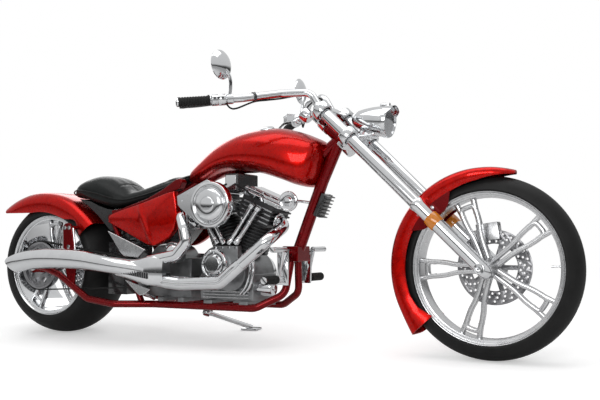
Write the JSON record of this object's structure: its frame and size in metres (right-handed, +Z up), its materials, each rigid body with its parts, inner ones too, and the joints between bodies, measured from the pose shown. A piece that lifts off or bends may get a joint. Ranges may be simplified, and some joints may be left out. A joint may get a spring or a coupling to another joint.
{
  "type": "chopper motorcycle",
  "caption": "Long raked chopper motorcycle with a V-twin engine, wide rear tyre, hugging fenders and a side stand it leans on.",
  "frame": {"origin": "centre of the bounding box seen from above, on the floor that the tyres and the side stand rest on", "axes": "+X forward, +Y to the rider's left, +Z up; the machine leans 5 degrees to +Y on its side stand"},
  "size_m": [2.807, 0.9155, 1.239],
  "materials": {
    "candy_red": "glossy candy red lacquer with a fine mottle",
    "frame_red": "glossy dark maroon paint",
    "chrome": "polished chrome",
    "polished_alloy": "polished aluminium",
    "dark_engine": "black wrinkle enamel with bright fin edges",
    "disc_steel": "drilled steel",
    "tyre": "black tyre rubber",
    "rubber": "black rubber",
    "seat_leather": "black smooth leather",
    "amber_lens": "amber lens",
    "red_lens": "dark red lens",
    "black_enamel": "satin black enamel"
  },
  "bodies": {
    "frame": {"head_tube": "frame_red", "backbone": "frame_red", "down_tube": "frame_red", "right_lower_rail": "frame_red", "left_lower_rail": "frame_red", "seat_posts": "frame_red", "axle_plates": "frame_red", "stand_bracket": "frame_red", "engine_case": "polished_alloy", "front_cylinder": "dark_engine", "rear_cylinder": "dark_engine", "rocker_boxes": "chrome", "pushrod_tubes": "chrome", "cam_cover": "chrome", "intake": "polished_alloy", "air_cleaner": "chrome", "primary_cover": "chrome", "transmission": "polished_alloy", "drive_belt": "rubber", "front_exhaust_pipe": "chrome", "rear_exhaust_pipe": "chrome", "muffler": "chrome", "fuel_tank": "candy_red", "seat": "seat_leather", "oil_tank": "black_enamel", "side_panels": "candy_red", "trim_plates": "chrome", "rear_fender": "candy_red", "fender_struts": "frame_red", "tail_lamp": "red_lens", "rear_axle": "chrome", "rear_caliper": "polished_alloy", "regulator": "black_enamel", "right_foot_controls": "chrome", "left_foot_controls": "chrome"},
    "rear_wheel": {"rear_rim": "chrome", "rear_tyre": "tyre", "rear_disc": "disc_steel", "rear_pulley": "disc_steel"},
    "fork": {"steering_stem": "chrome", "triple_clamps": "chrome", "fork_legs": "chrome", "marker_bands": "amber_lens", "handlebars": "chrome", "grips": "rubber", "bar_controls": "chrome", "mirrors": "chrome", "gauge": "chrome", "headlamp": "chrome", "front_fender": "candy_red", "front_axle": "chrome", "front_caliper": "polished_alloy"},
    "front_wheel": {"front_rim": "polished_alloy", "front_tyre": "tyre", "front_disc": "disc_steel"},
    "side_stand": {"side_stand": "chrome"}
  },
  "joints": [
    {"name": "rear_wheel_spin", "type": "hinge", "parent": "frame", "child": "rear_wheel", "pos_m": [-1.0735, -0.05803, 0.32947], "axis": [0, 0.9962, -0.0872], "continuous": true},
    {"name": "steering", "type": "hinge", "parent": "frame", "child": "fork", "pos_m": [0.43031, -0.00991, 0.87949], "axis": [-0.7193, 0.0605, 0.692], "range_deg": [-28, 28]},
    {"name": "front_wheel_spin", "type": "hinge", "parent": "fork", "child": "front_wheel", "pos_m": [1.0585, -0.05673, 0.34441], "axis": [0, 0.9962, -0.0872], "continuous": true},
    {"name": "side_stand_fold", "type": "hinge", "parent": "frame", "child": "side_stand", "pos_m": [-0.3135, 0.04875, 0.1043], "axis": [0.0879, 0.4445, 0.8915], "range_deg": [0, 108]}
  ]
}
